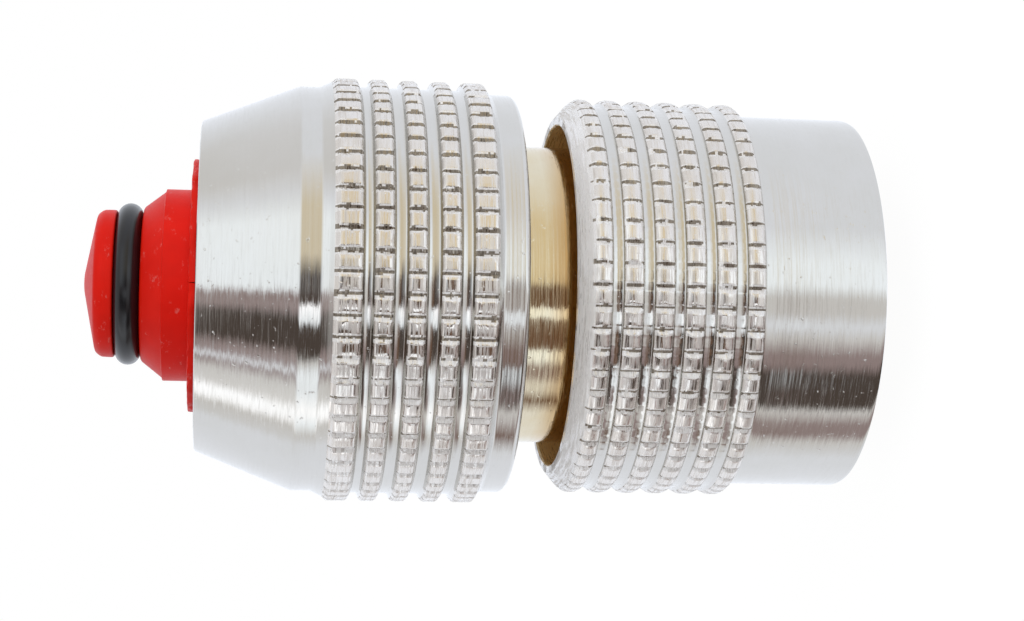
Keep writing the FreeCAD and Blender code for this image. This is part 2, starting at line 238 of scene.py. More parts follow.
def lathe_solid(name, points, columns, shape=None):
    """Turn an open outline that starts and ends on the axis."""
    inner = points[1:-1]
    verts = turned_points(inner, columns, shape)[0]
    width = len(columns)
    faces = []
    for row in range(len(inner) - 1):
        faces += ring_faces(row, row + 1, width)
    bottom = len(verts)
    verts += [(0, 0, points[0][1]), (0, 0, points[-1][1])]
    last = (len(inner) - 1) * width
    for column in range(width):
        beside = (column + 1) % width
        faces.append((bottom, beside, column))
        faces.append((bottom + 1, last + column, last + beside))
    return finish_mesh(mesh_object(name, verts, faces))


def sector(name, points, first, last, slit, columns, shape=None):
    """Sweep a closed outline from one angle to another, each end half a slit away from its angle's plane."""
    verts = []
    for step in range(columns + 1):
        share = step / columns
        for r, z in points:
            inset = math.asin(slit / 2 / r)
            angle = first + inset + (last - first - 2 * inset) * share
            radius, level = shape(r, z, angle) if shape else (r, z)
            verts.append((radius * math.cos(angle), radius * math.sin(angle), level))
    count = len(points)
    faces = []
    for step in range(columns):
        here = step * count
        there = here + count
        for k in range(count):
            beside = (k + 1) % count
            faces.append((here + k, there + k, there + beside, here + beside))
    faces.append(tuple(range(count)))
    faces.append(tuple(columns * count + k for k in range(count)))
    return finish_mesh(mesh_object(name, verts, faces))


def prism(name, corners, low, high):
    """Raise a flat outline of (x, y) points from one level to another."""
    count = len(corners)
    verts = [(x, y, z) for z in (low, high) for x, y in corners]
    faces = [(k, (k + 1) % count, count + (k + 1) % count, count + k) for k in range(count)]
    faces += [tuple(range(count)), tuple(count + k for k in range(count))]
    return finish_mesh(mesh_object(name, verts, faces))


ROD_COLUMNS = 48


def rod(name, radius, low, high):
    """A round bar along Z."""
    corners = [(radius * math.cos(turn), radius * math.sin(turn)) for turn in even_columns(ROD_COLUMNS)]
    return prism(name, corners, low, high)


def joined(name, pieces):
    """One piece made of several closed shells."""
    work = bmesh.new()
    for piece in pieces:
        work.from_mesh(piece.data)
        bpy.data.objects.remove(piece)
    mesh = bpy.data.meshes.new(name)
    work.to_mesh(mesh)
    work.free()
    obj = bpy.data.objects.new(name, mesh)
    bpy.context.scene.collection.objects.link(obj)
    return finish_mesh(obj)


def coil(name, mean_r, wire_r, low, high, turns):
    """A spring of round wire whose end coils lie flat."""
    steps_per_turn = 56
    around_wire = 14
    flat_turns = 0.5
    end_turns = 2 * flat_turns
    steps = int(steps_per_turn * turns)
    rise = high - low - 2 * wire_r
    verts = []
    for step in range(steps + 1):
        turned = step / steps_per_turn
        share = min(1.0, max(0.0, (turned - flat_turns) / (turns - end_turns)))
        level = low + wire_r + rise * share
        angle = TURN * turned
        for k in range(around_wire):
            side = TURN * k / around_wire
            radius = mean_r + wire_r * math.cos(side)
            height = level + wire_r * math.sin(side)
            verts.append((radius * math.cos(angle), radius * math.sin(angle), height))
    faces = []
    for step in range(steps):
        faces += ring_faces(step, step + 1, around_wire)
    faces.append(tuple(range(around_wire)))
    faces.append(tuple(steps * around_wire + k for k in range(around_wire)))
    return finish_mesh(mesh_object(name, verts, faces), COIL_SHARP_ANGLE)


def dress(obj, body, material, slot, *nodes):
    """Give a piece its finish, its body and the nodes it stands for."""
    obj.data.materials.clear()
    obj.data.materials.append(material)
    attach(obj, body)
    if nodes:
        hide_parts(*nodes)
    return obj


# the materials

# how often the patterns repeat per metre, across and along the axis or all ways alike
FINE_LINES = (500, 500, 9000)
WIDE_LINES = (25, 25, 4200)
SWING_LINES = (250, 250, 8500)
SCUFFS = (900, 900, 1700)
GRAIN = 4200.0
PITS = 2300.0
CLOUDS = 160.0
SKIN = 3500.0
COLOUR_DRIFT = 250.0
# how deep the metal's patterns are, as shares of its line depth, and how strongly they bend the light
WIDE_DEPTH = 1.5
FINE_DEPTH = 0.25
GRAIN_DEPTH = 0.3
PIT_DEPTH = 3
RELIEF = 0.8
# the roughness between and on the turned lines, as shares of the metal's own
SMOOTHEST = 0.4
ROUGHEST = 4.5
# how far the turned lines turn the normals round the axis
SWING = 0.024
# the parts of a pattern's range that show as pits, clouds and scuffs
PIT_RANGE = (0.69, 0.77)
CLOUD_RANGE = (0.35, 0.75)
SCUFF_RANGE = (0.6, 0.74)
SCUFF_COLOUR = (0.85, 0.62, 0.58)
SKIN_RELIEF = 0.2
SKIN_DEPTH = 0.00001


def new_material(name):
    """A material with its node tree and shader, and the place on the object in metres."""
    material = bpy.data.materials.new(name)
    material.use_nodes = True
    tree = material.node_tree
    shader = tree.nodes["Principled BSDF"]
    place = tree.nodes.new("ShaderNodeTexCoord")
    return material, tree, shader, place.outputs["Object"]


def scaled(tree, source, factors):
    """A vector scaled along each axis."""
    mapping = tree.nodes.new("ShaderNodeMapping")
    mapping.inputs["Scale"].default_value = factors
    tree.links.new(source, mapping.inputs["Vector"])
    return mapping.outputs["Vector"]


def noise(tree, vector, scale, detail, rough):
    """Cloudy values round 0.5. The scale is one number or one for each axis."""
    if isinstance(scale, tuple):
        vector = scaled(tree, vector, scale)
        scale = 1.0
    texture = tree.nodes.new("ShaderNodeTexNoise")
    texture.inputs["Scale"].default_value = scale
    texture.inputs["Detail"].default_value = detail
    texture.inputs["Roughness"].default_value = rough
    tree.links.new(vector, texture.inputs["Vector"])
    return texture.outputs["Fac"]


def bump(tree, height, strength, distance, base=None):
    """Normals bent by a height, in metres, on top of other bent normals if given."""
    node = tree.nodes.new("ShaderNodeBump")
    node.inputs["Strength"].default_value = strength
    node.inputs["Distance"].default_value = distance
    tree.links.new(height, node.inputs["Height"])
    if base is not None:
        tree.links.new(base, node.inputs["Normal"])
    return node.outputs["Normal"]


def remap(tree, value, low, high, from_low=0.0, from_high=1.0):
    """A value's range turned into another, with what is outside held at its ends."""
    node = tree.nodes.new("ShaderNodeMapRange")
    node.inputs["From Min"].default_value = from_low
    node.inputs["From Max"].default_value = from_high
    node.inputs["To Min"].default_value = low
    node.inputs["To Max"].default_value = high
    tree.links.new(value, node.inputs["Value"])
    return node.outputs["Result"]


def mix_colour(tree, factor, first, second):
    """Two colours mixed. Each is three numbers or comes from another node."""
    node = tree.nodes.new("ShaderNodeMix")
    node.data_type = "RGBA"
    for name, colour in (("A", first), ("B", second)):
        if isinstance(colour, tuple):
            node.inputs[name].default_value = (*colour, 1)
        else:
            tree.links.new(colour, node.inputs[name])
    tree.links.new(factor, node.inputs["Factor"])
    return node.outputs["Result"]


def reckon(tree, operation, *values):
    """A Math node's result. Each value is a number or comes from another node."""
    node = tree.nodes.new("ShaderNodeMath")
    node.operation = operation
    for socket, value in zip(node.inputs, values):
        if isinstance(value, float):
            socket.default_value = value
        else:
            tree.links.new(value, socket)
    return node.outputs["Value"]


def swung(tree, normal, position):
    """Turn the normals a little round the axis, by a different amount on each turned line."""
    across = tree.nodes.new("ShaderNodeVectorMath")
    across.operation = "CROSS_PRODUCT"
    across.inputs[0].default_value = (0, 0, 1)
    tree.links.new(normal, across.inputs[1])
    lines = noise(tree, position, SWING_LINES, 3.0, 0.7)
    moved = tree.nodes.new("ShaderNodeVectorMath")
    moved.operation = "SCALE"
    tree.links.new(across.outputs["Vector"], moved.inputs["Vector"])
    tree.links.new(remap(tree, lines, -SWING, SWING, 0.25, 0.75), moved.inputs["Scale"])
    summed = tree.nodes.new("ShaderNodeVectorMath")
    tree.links.new(normal, summed.inputs[0])
    tree.links.new(moved.outputs["Vector"], summed.inputs[1])
    unit = tree.nodes.new("ShaderNodeVectorMath")
    unit.operation = "NORMALIZE"
    tree.links.new(summed.outputs["Vector"], unit.inputs[0])
    return unit.outputs["Vector"]


def turned_metal(name, colour, darkening, roughness, line_depth, metallic=1.0):
    """Bright turned metal: fine lines round the axis, grain, small pits and faint cloudy stains."""
    material, tree, shader, position = new_material(name)
    shader.inputs["Metallic"].default_value = metallic
    fine_lines = noise(tree, position, FINE_LINES, 2.0, 0.6)
    wide_lines = noise(tree, position, WIDE_LINES, 1.0, 0.5)
    grain = noise(tree, position, GRAIN, 3.0, 0.7)
    pits = remap(tree, noise(tree, position, PITS, 2.0, 0.6), 0, 1, *PIT_RANGE)
    clouds = remap(tree, noise(tree, position, CLOUDS, 4.0, 0.6), 0, 1, *CLOUD_RANGE)
    tree.links.new(mix_colour(tree, clouds, colour, darkening), shader.inputs["Base Color"])
    gloss = remap(tree, fine_lines, roughness * SMOOTHEST, roughness * ROUGHEST, 0.4, 0.8)
    tree.links.new(gloss, shader.inputs["Roughness"])
    normal = None
    reliefs = ((wide_lines, WIDE_DEPTH), (fine_lines, FINE_DEPTH), (grain, GRAIN_DEPTH), (pits, PIT_DEPTH))
    for height, share in reliefs:
        normal = bump(tree, height, RELIEF, line_depth * share, normal)
    tree.links.new(swung(tree, normal, position), shader.inputs["Normal"])
    return material


def paint_shade_below(material, low, high, colour):
    """Paint shade onto a finish, turning its colour towards another below a level, in metres."""
    tree = material.node_tree
    target = tree.nodes["Principled BSDF"].inputs["Base Color"]
    plain = target.links[0].from_socket
    parts = tree.nodes.new("ShaderNodeSeparateXYZ")
    tree.links.new(tree.nodes["Texture Coordinate"].outputs["Object"], parts.inputs["Vector"])
    height = remap(tree, parts.outputs["Z"], 0, 1, low, high)
    tree.links.new(mix_colour(tree, height, colour, plain), target)


def moulded(name, colour, shade, roughness, specular, scuff):
    """Moulded plastic or rubber: slight colour drift, fine skin grain and pale scuffs."""
    material, tree, shader, position = new_material(name)
    drift = remap(tree, noise(tree, position, COLOUR_DRIFT, 3.0, 0.6), 0, 1, 0.3, 0.7)
    skin = noise(tree, position, SKIN, 3.0, 0.6)
    scuffs = remap(tree, noise(tree, position, SCUFFS, 6.0, 0.75), 0.0, scuff, *SCUFF_RANGE)
    plain = mix_colour(tree, drift, colour, shade)
    tree.links.new(mix_colour(tree, scuffs, plain, SCUFF_COLOUR), shader.inputs["Base Color"])
    tree.links.new(remap(tree, skin, roughness * 0.8, roughness * 1.25), shader.inputs["Roughness"])
    shader.inputs["Specular IOR Level"].default_value = specular
    tree.links.new(bump(tree, skin, SKIN_RELIEF, SKIN_DEPTH), shader.inputs["Normal"])
    return material


# for each metal its colour, the colour of its stains, its roughness, the depth of its lines in metres and,
# where it is dull, how metallic it is
LINE_DEPTH = 0.000006
BRASS_COLOURS = ((0.70, 0.63, 0.48), (0.66, 0.55, 0.36))
nickel = turned_metal("nickel plate", (0.63, 0.61, 0.58), (0.60, 0.58, 0.54), 0.06, LINE_DEPTH)
brass = turned_metal("bare brass", *BRASS_COLOURS, 0.07, LINE_DEPTH)
# the neck's brass is painted browner where it goes into the nut's mouth: painted shade from the nut
neck_brass = turned_metal("brass with painted shade by the nut", *BRASS_COLOURS, 0.07, LINE_DEPTH)
paint_shade_below(neck_brass, 0.0243, 0.0260, (0.54, 0.36, 0.17))
dull_brass = turned_metal("dull brass", (0.90, 0.68, 0.36), (0.70, 0.48, 0.20), 0.35, LINE_DEPTH, 0.35)
pressed = turned_metal("pressed nickel", (0.76, 0.72, 0.68), (0.68, 0.63, 0.58), 0.2, 0.000009)
satin = turned_metal("satin nickel", (0.92, 0.90, 0.89), (0.80, 0.77, 0.74), 0.3, 0.000010, 0.4)
# the dark nickel on the notches' upper flanks is painted shade
painted_shade_nickel = turned_metal("nickel with painted shade in the notches", (0.35, 0.31, 0.26), (0.24, 0.20, 0.16), 0.30, 0.000012)
steel = turned_metal("spring steel", (0.56, 0.57, 0.58), (0.48, 0.48, 0.48), 0.25, 0.0000008)
# for each plastic or rubber its colour, a second shade, its roughness, its gloss and how much its scuffs show
red = moulded("red plastic", (0.90, 0.014, 0.005), (0.78, 0.010, 0.003), 0.42, 0.12, 0.4)
black = moulded("black rubber", (0.006, 0.006, 0.008), (0.010, 0.010, 0.012), 0.22, 0.45, 0.0)
white = moulded("natural acetal", (0.74, 0.74, 0.70), (0.66, 0.66, 0.62), 0.4, 0.3, 0.0)


# the knurl

NOTCH_DEPTH_SPREAD = (0.75, 1.15)
NOTCH_SHIFT = 0.03
NOTCH_HALF_WIDTH = 0.33
# where the columns of a notch fall, as shares of the notches' pitch from the notch's middle
NOTCH_SHARES = (-0.42, -0.26, -0.2, -0.12, -0.03, 0.03, 0.12, 0.2, 0.26, 0.42)
# how far the notch's edges and floor wander, slowly along the notch and finely all over
WANDER_ASIDE = 0.07
WANDER_DEEP = 0.2
WANDER_FINE = 0.02
LIP_HEIGHT = 0.014
LIP_ASIDE = 0.05
LIP_WIDTH = 0.12
# the depth at which a notch's finish starts
NOTCH_START = 0.03
# the part of a notch darkened with painted shade, from its middle to its upper edge, and how far its edges
# wander
SLEEVE_PAINTED_SHADE = (-0.25, 0.65)
NUT_PAINTED_SHADE = (0.05, 0.6)
THIN_PAINTED_SHADE = (0.3, 0.6)
PAINTED_SHADE_WANDER = 0.4
# how far down a notch carries its full painted shade, as a share of the radius
SLEEVE_FULL_SHADE_TO = -0.3
NUT_FULL_SHADE_TO = -0.85


class Knurl:
    """Straight axial notches, each a little different, cut to a V whose flanks rise from its floor."""

    def __init__(self, count, crest_r, depth, phase, darkening, full_shade_to):
        self.count = count
        self.crest_r = crest_r
        self.slope = depth / NOTCH_HALF_WIDTH
        self.phase = phase
        self.darkening = darkening
        self.full_shade_to = full_shade_to
        self.depths = [depth * random.uniform(*NOTCH_DEPTH_SPREAD) for _ in range(count)]
        self.shifts = [random.uniform(-NOTCH_SHIFT, NOTCH_SHIFT) for _ in range(count)]

    def columns(self):
        """Angles that fall on each notch's floor, flanks and lips."""
        pitch = TURN / self.count
        return [(index + share) * pitch + self.phase for index in range(self.count) for share in NOTCH_SHARES]

    def offset(self, angle):
        """The notch that an angle belongs to and the distance from its middle."""
        turns = (angle - self.phase) / (TURN / self.count)
        index = int(round(turns))
        which = index % self.count
        return which, (turns - index - self.shifts[which]) * TURN / self.count * self.crest_r

    def limit(self, angle, z):
        """The largest radius that the notches leave at an angle, ragged along the notch."""
        which, aside = self.offset(angle)
        ragged = random_field.noise(Vector((which * 7.3, z * 5.0, 0.5)))
        fine = random_field.noise(Vector((which * 3.1, z * 12.0, aside * 9.0)))
        aside += WANDER_ASIDE * ragged + WANDER_FINE * fine
        floor = self.crest_r - self.depths[which] * (1 + WANDER_DEEP * ragged) + WANDER_FINE * fine
        return floor + abs(aside) * self.slope

    def lip(self, angle, z):
        """How far the pressed metal stands up beside a notch."""
        which, aside = self.offset(angle)
        beside = abs(abs(aside) - NOTCH_HALF_WIDTH - LIP_ASIDE)
        ragged = random_field.noise(Vector((which * 2.7, z * 6.0, 4.5)))
        return max(0.0, LIP_HEIGHT * (1 + ragged) * (1 - beside / LIP_WIDTH))

    def finish(self, obj, lowest_r):
        """Give the pressed bands, the notches and the notches' upper flanks their finishes; the upper flanks
        get painted shade.
        """
        band = len(obj.data.materials)
        notch = band + 1
        shade_index = band + 2
        for material in (pressed, satin, painted_shade_nickel):
            obj.data.materials.append(material)
        for face in obj.data.polygons:
            centre = face.center / MM
            radius = math.hypot(centre.x, centre.y)
            if radius < lowest_r:
                continue
            which, aside = self.offset(math.atan2(centre.y, centre.x))
            share = aside / NOTCH_HALF_WIDTH
            if radius >= self.crest_r - NOTCH_START or abs(share) >= 1:
                face.material_index = band
                continue
            # the notch's upper flank gets painted shade, over a wider span on the side towards the camera's
            # top
            drift = PAINTED_SHADE_WANDER * random_field.noise(Vector((which * 5.1, centre.z * 3.0, 2.5)))
            low, high = self.darkening if centre.x > self.full_shade_to * radius else THIN_PAINTED_SHADE
            face.material_index = shade_index if low - drift < share < high + drift else notch


# the release sleeve

SLEEVE_BANDS = [(2.65, 4.05), (5.55, 6.5), (8.1, 9.0), (10.55, 11.5), (12.85, 14.35)]
SLEEVE_REAR_R = 16.24
SLEEVE_REAR_LENGTH = 2.0
SLEEVE_REAR_CHAMFER = 0.35
SLEEVE_GROOVE_R = 16.46
SLEEVE_FRONT_BAND_R = 16.35
SLEEVE_FRONT_BAND = (15.65, 17.25)
SLEEVE_TIP_R = 13.3
SLEEVE_BORE_R = 14.75
SLEEVE_GUIDE_R = 13.4
SLEEVE_GUIDE = (12.65, 17.35)
SLEEVE_MOUTH_R = 10.5
SLEEVE_LIP = 1.0
SLEEVE_WALL = 1.7
SLEEVE_ROUND = 0.1
SNAP_GROOVE = (0.4, 1.4)
SNAP_GROOVE_DEPTH = 0.5
# how a band's edge falls to the groove beside it, and how far out it reaches there
BAND_TOP = 0.06
BAND_BEVEL = 0.05
BAND_FLANK = 0.2
BAND_FOOT = 0.38
OUTER_FOOT_DROP = 0.28
REAR_FOOT = 0.16
FRONT_FOOT = 0.3
# rows of points along a wide band and a narrow one
WIDE_BAND = 1.2
WIDE_BAND_ROWS = 8
NARROW_BAND_ROWS = 6
SLEEVE_NOTCHES = 65
SLEEVE_NOTCH_DEPTH = 0.24
SLEEVE_PHASE = 0.0316
# notches cut the outline only above this drop from the crest
SLEEVE_NOTCHED_DROP = 0.22


def release_sleeve():
    """The sleeve with its five notched bands, coned front, guide bore and the snap ring's groove."""
    rear = SLEEVE_LOW
    outer = [
        (SLEEVE_REAR_R - SLEEVE_REAR_CHAMFER, rear),
        (SLEEVE_REAR_R, rear + SLEEVE_REAR_CHAMFER),
        (SLEEVE_REAR_R, rear + SLEEVE_REAR_LENGTH),
    ]
    last_band = len(SLEEVE_BANDS) - 1
    crest = SLEEVE_R - LIP_HEIGHT
    for index, (low, high) in enumerate(SLEEVE_BANDS):
        if index:
            outer.append((SLEEVE_GROOVE_R, rear + low - BAND_FOOT))
            outer.append((crest - BAND_FLANK, rear + low - BAND_FLANK))
        else:
            outer.append((crest - OUTER_FOOT_DROP, rear + low - REAR_FOOT))
        outer.append((crest - BAND_BEVEL, rear + low - BAND_TOP))
        rows = WIDE_BAND_ROWS if high - low > WIDE_BAND else NARROW_BAND_ROWS
        outer += rows_between((crest, rear + low + BAND_TOP), (crest, rear + high - BAND_TOP), rows)
        outer.append((crest, rear + high - BAND_TOP))
        outer.append((crest - BAND_BEVEL, rear + high + BAND_TOP))
        if index < last_band:
            outer.append((crest - BAND_FLANK, rear + high + BAND_FLANK))
            outer.append((SLEEVE_GROOVE_R, rear + high + BAND_FOOT))
        else:
            outer.append((crest - OUTER_FOOT_DROP, rear + high + FRONT_FOOT))
    outer.append((SLEEVE_FRONT_BAND_R, rear + SLEEVE_FRONT_BAND[0]))
    outer.append((SLEEVE_FRONT_BAND_R, rear + SLEEVE_FRONT_BAND[1]))
    slope = (SLEEVE_FRONT_BAND_R - SLEEVE_TIP_R) / (SLEEVE_TOP - rear - SLEEVE_FRONT_BAND[1])
    lip_z = SLEEVE_TOP - SLEEVE_LIP
    wall_r = SLEEVE_FRONT_BAND_R - SLEEVE_WALL
    cone_z = rear + SLEEVE_FRONT_BAND[1]
    guide_top = rear + SLEEVE_GUIDE[1]
    outer += [
        (SLEEVE_TIP_R, SLEEVE_TOP),
        (SLEEVE_MOUTH_R, SLEEVE_TOP),
        (SLEEVE_MOUTH_R, lip_z),
        (wall_r - slope * (lip_z - cone_z), lip_z),
        (wall_r - slope * (guide_top - cone_z), guide_top),
        (SLEEVE_GUIDE_R, guide_top),
        (SLEEVE_GUIDE_R, rear + SLEEVE_GUIDE[0]),
        (SLEEVE_BORE_R, rear + SLEEVE_GUIDE[0]),
        (SLEEVE_BORE_R, rear + SNAP_GROOVE[1]),
        (SLEEVE_BORE_R + SNAP_GROOVE_DEPTH, rear + SNAP_GROOVE[1]),
        (SLEEVE_BORE_R + SNAP_GROOVE_DEPTH, rear + SNAP_GROOVE[0]),
        (SLEEVE_BORE_R, rear + SNAP_GROOVE[0]),
        (SLEEVE_BORE_R, rear),
    ]
    knurl = Knurl(SLEEVE_NOTCHES, crest, SLEEVE_NOTCH_DEPTH, SLEEVE_PHASE, SLEEVE_PAINTED_SHADE, SLEEVE_FULL_SHADE_TO)

    def shape(r, z, angle):
        if r < crest - SLEEVE_NOTCHED_DROP:
            return r
        return min(r + knurl.lip(angle, z), knurl.limit(angle, z))

    sleeve = lathe("knurled_sleeve", soften(outer, SLEEVE_ROUND, 1), knurl.columns(), shape)
    dress(sleeve, "sleeve", nickel, "nickel", "release_sleeve")
    knurl.finish(sleeve, crest - OUTER_FOOT_DROP)


# the hose nut

NUT_PLAIN_R = 15.24
# the rounded rear edge, as the drop from the plain part's radius and the level
NUT_REAR_EDGE = ((0.35, 0), (0.1, 0.1), (0, 0.4))
NUT_PLAIN_LENGTH = 8.5
NUT_RIBS = 6
NUT_RIB_PITCH = 2.39
NUT_FIRST_CREST_BACK = 1.7
NUT_FACE_R = 14.65
NUT_MOUTH_R = 13.97
NUT_MOUTH_DEPTH = 2.5
NUT_MOUTH_CHAMFER = 0.12
NUT_BORE_R = 10.9
NUT_LIP = 2.0
NUT_THREAD_R = 14.0
NUT_THREAD_END = 11.2
# the thread starts this far below the mouth, and its ends fade over this length
NUT_THREAD_START = 0.6
NUT_THREAD_FADE = 0.3
NUT_THREAD_ROWS = 4
NUT_CONE = ((13.2, 6.05), (11.7, 2.05))
# how far a rib falls from its crest, by the share of half the pitch, and how the front slope falls, in shares
RIB_DROPS = (
    (0.2, 0.012), (0.32, 0.04), (0.42, 0.085), (0.51, 0.14), (0.57, 0.2),
    (0.61, 0.27), (0.65, 0.37), (0.69, 0.43), (0.75, 0.46), (0.96, 0.46),
)
FRONT_DROPS = (
    (0.1, 0.01), (0.2, 0.045), (0.32, 0.12), (0.44, 0.24), (0.58, 0.42), (0.72, 0.61), (0.86, 0.8),
    (0.95, 0.93), (1.0, 1.0),
)
# what stands above the plain part's radius by less than this isn't notched
NUT_UNNOTCHED = 0.03
NUT_NOTCHES = 60
NUT_NOTCH_DEPTH = 0.23
NUT_PHASE = 0.0314
# the lumpy cast skin on the front slope: its levels above the first crest, and its lumps
LUMPS = (0.45, 1.1)
LUMP_SCALE = 18
LUMP_DEPTH = 0.09
LUMP_BASE = 0.01
# where the nut's finishes are in its list of materials
DULL_SLOT = 1
SATIN_SLOT = 3
# the slot of the nickel darkened with painted shade
PAINTED_SHADE_SLOT = 4
THREAD_PITCH = 1.5
THREAD_DEPTH = 0.55


def thread_wave(z, angle):
    """0 at a thread's root and 1 at its crest, for a right-hand thread."""
    turns = z / THREAD_PITCH - angle / TURN
    share = turns - math.floor(turns)
    return 1 - abs(2 * share - 1)


def hose_nut():
    """The nut: plain rear part, six notched ribs, front slope, thread and the cone that closes the collet."""
    first_crest = NUT_TOP - NUT_FIRST_CREST_BACK
    half_pitch = NUT_RIB_PITCH / 2
    outer = [(NUT_BORE_R, 0)]
    outer += [(NUT_PLAIN_R - drop, z) for drop, z in NUT_REAR_EDGE]
    outer.append((NUT_PLAIN_R, NUT_PLAIN_LENGTH))
    top_r = NUT_R - LIP_HEIGHT
    for index in reversed(range(NUT_RIBS)):
        crest = first_crest - index * NUT_RIB_PITCH
        for share, drop in reversed(RIB_DROPS):
            if index == NUT_RIBS - 1:
                drop = min(drop * 2, top_r - NUT_PLAIN_R - NUT_UNNOTCHED)
            outer.append((top_r - drop, crest - share * half_pitch))
        outer.append((top_r, crest))
        if index:
            outer += [(top_r - drop, crest + share * half_pitch) for share, drop in RIB_DROPS]
    for share, drop in FRONT_DROPS:
        outer.append((top_r - drop * (top_r - NUT_FACE_R), first_crest + share * NUT_FIRST_CREST_BACK))
    mouth_z = NUT_TOP - NUT_MOUTH_DEPTH
    thread_top = mouth_z - NUT_THREAD_START
    thread_rows = int((thread_top - NUT_THREAD_END) / THREAD_PITCH * NUT_THREAD_ROWS)
    thread_end = (NUT_THREAD_R, NUT_THREAD_END + NUT_THREAD_FADE)
    inner = [
        (NUT_MOUTH_R + NUT_MOUTH_CHAMFER, NUT_TOP),
        (NUT_MOUTH_R, NUT_TOP - NUT_MOUTH_CHAMFER),
        (NUT_MOUTH_R, mouth_z),
        (NUT_THREAD_R, mouth_z - NUT_THREAD_FADE),
        *rows_between((NUT_THREAD_R, thread_top), thread_end, thread_rows),
        (NUT_THREAD_R, NUT_THREAD_END),
        (NUT_CONE[0][0], NUT_THREAD_END),
        *NUT_CONE,
        (NUT_CONE[1][0], NUT_LIP),
        (NUT_BORE_R, NUT_LIP),
    ]
    knurl = Knurl(NUT_NOTCHES, top_r, NUT_NOTCH_DEPTH, NUT_PHASE, NUT_PAINTED_SHADE, NUT_FULL_SHADE_TO)
    lumps_low, lumps_high = [first_crest + level for level in LUMPS]

    def shape(r, z, angle):
        if abs(r - NUT_THREAD_R) < SAME and NUT_THREAD_END + 0.2 < z < mouth_z - 0.5:
            return r + THREAD_DEPTH * (1 - thread_wave(z, angle))
        if lumps_low < z < lumps_high and r > NUT_MOUTH_R + 0.1:
            spot = Vector((math.cos(angle) * LUMP_SCALE, math.sin(angle) * LUMP_SCALE, z * 3.0))
            r -= LUMP_DEPTH * max(0.0, random_field.noise(spot)) + LUMP_BASE
        if r > NUT_PLAIN_R + NUT_UNNOTCHED:
            return min(r + knurl.lip(angle, z), knurl.limit(angle, z))
        return r

    nut = lathe("knurled_nut", outer + inner, knurl.columns(), shape)
    dress(nut, "nut", nickel, "nickel", "hose_nut")
    nut.data.materials.append(dull_brass)
    knurl.finish(nut, top_r - 0.3)
    mouth_r = NUT_MOUTH_R + NUT_MOUTH_CHAMFER
    for face in nut.data.polygons:
        centre = face.center / MM
        # the front slope is satin, but the notches keep their painted shade
        if centre.z > lumps_low and face.material_index != PAINTED_SHADE_SLOT:
            face.material_index = SATIN_SLOT
        if math.hypot(centre.x, centre.y) < mouth_r and NUT_LIP < centre.z < NUT_TOP:
            face.material_index = DULL_SLOT


# the brass body

BODY_NECK_R = 12.13
BODY_THREAD_R = 13.9
BODY_THREAD_TOP = 21.4
BODY_ROUND = 0.8
BODY_FLARE = 1.5
BODY_FLANGE = (29.25, 30.5, 14.6)
BODY_BARREL_R = 13.2
BODY_SHOULDER_Z = 44.3
BODY_FRONT_R = 11.6
BODY_BORE_R = 7.95
BODY_SEAT = (24.8, 26.4, 5.9)
BODY_CHAMBER_R = 8.6
BODY_COLUMNS = 192
# the thread's chamfer and the length that it leaves free at its top
BODY_THREAD_CHAMFER = 0.5
BODY_THREAD_RUNOUT = 0.4
BODY_THREAD_ROWS = 8
FLARE_STEPS = 8
ROUND_STEPS = 5


def main_body():
    """The body: thread, flared neck, flange, barrel, shoulder, bore and seat."""
    outer = [(BODY_CHAMBER_R, BODY_LOW), (BODY_THREAD_R - BODY_THREAD_CHAMFER, BODY_LOW)]
    thread_length = BODY_THREAD_TOP - BODY_LOW - BODY_THREAD_CHAMFER - BODY_THREAD_RUNOUT
    outer += rows_between(
        (BODY_THREAD_R, BODY_LOW + BODY_THREAD_CHAMFER),
        (BODY_THREAD_R, BODY_THREAD_TOP - BODY_THREAD_RUNOUT),
        int(thread_length / THREAD_PITCH * BODY_THREAD_ROWS),
    )
    outer.append((BODY_THREAD_R - 0.05, BODY_THREAD_TOP - 0.2))
    outer.append((BODY_NECK_R + BODY_FLARE, BODY_THREAD_TOP))
    for step in range(1, FLARE_STEPS + 1):
        turn = math.pi / 2 * step / FLARE_STEPS
        radius = BODY_NECK_R + BODY_FLARE * (1 - math.sin(turn))
        outer.append((radius, BODY_THREAD_TOP + BODY_FLARE * (1 - math.cos(turn))))
    for step in range(ROUND_STEPS + 1):
        turn = math.pi / 2 * step / ROUND_STEPS
        radius = BODY_NECK_R + BODY_ROUND * (1 - math.cos(turn))
        outer.append((radius, BODY_FLANGE[0] - BODY_ROUND * (1 - math.sin(turn))))
    outer += [
        (BODY_FLANGE[2], BODY_FLANGE[0]),
        (BODY_FLANGE[2], BODY_FLANGE[1]),
        (BODY_BARREL_R, BODY_FLANGE[1]),
        (BODY_BARREL_R, BODY_SHOULDER_Z),
        (BODY_FRONT_R, BODY_SHOULDER_Z),
        (BODY_FRONT_R, BODY_TOP),
        (BODY_BORE_R, BODY_TOP),
        (BODY_BORE_R, BODY_SEAT[1]),
        (BODY_SEAT[2], BODY_SEAT[1]),
        (BODY_SEAT[2], BODY_SEAT[0]),
        (BODY_CHAMBER_R, BODY_SEAT[0]),
    ]

    def shape(r, z, angle):
        if abs(r - BODY_THREAD_R) < SAME:
            return r - THREAD_DEPTH * (1 - thread_wave(z, angle))
        return r

    body = lathe("turned_body", outer, even_columns(BODY_COLUMNS), shape)
    dress(body, "body", neck_brass, "brass", "main_body")


# the red valve plunger, its ring, the claws and what is inside

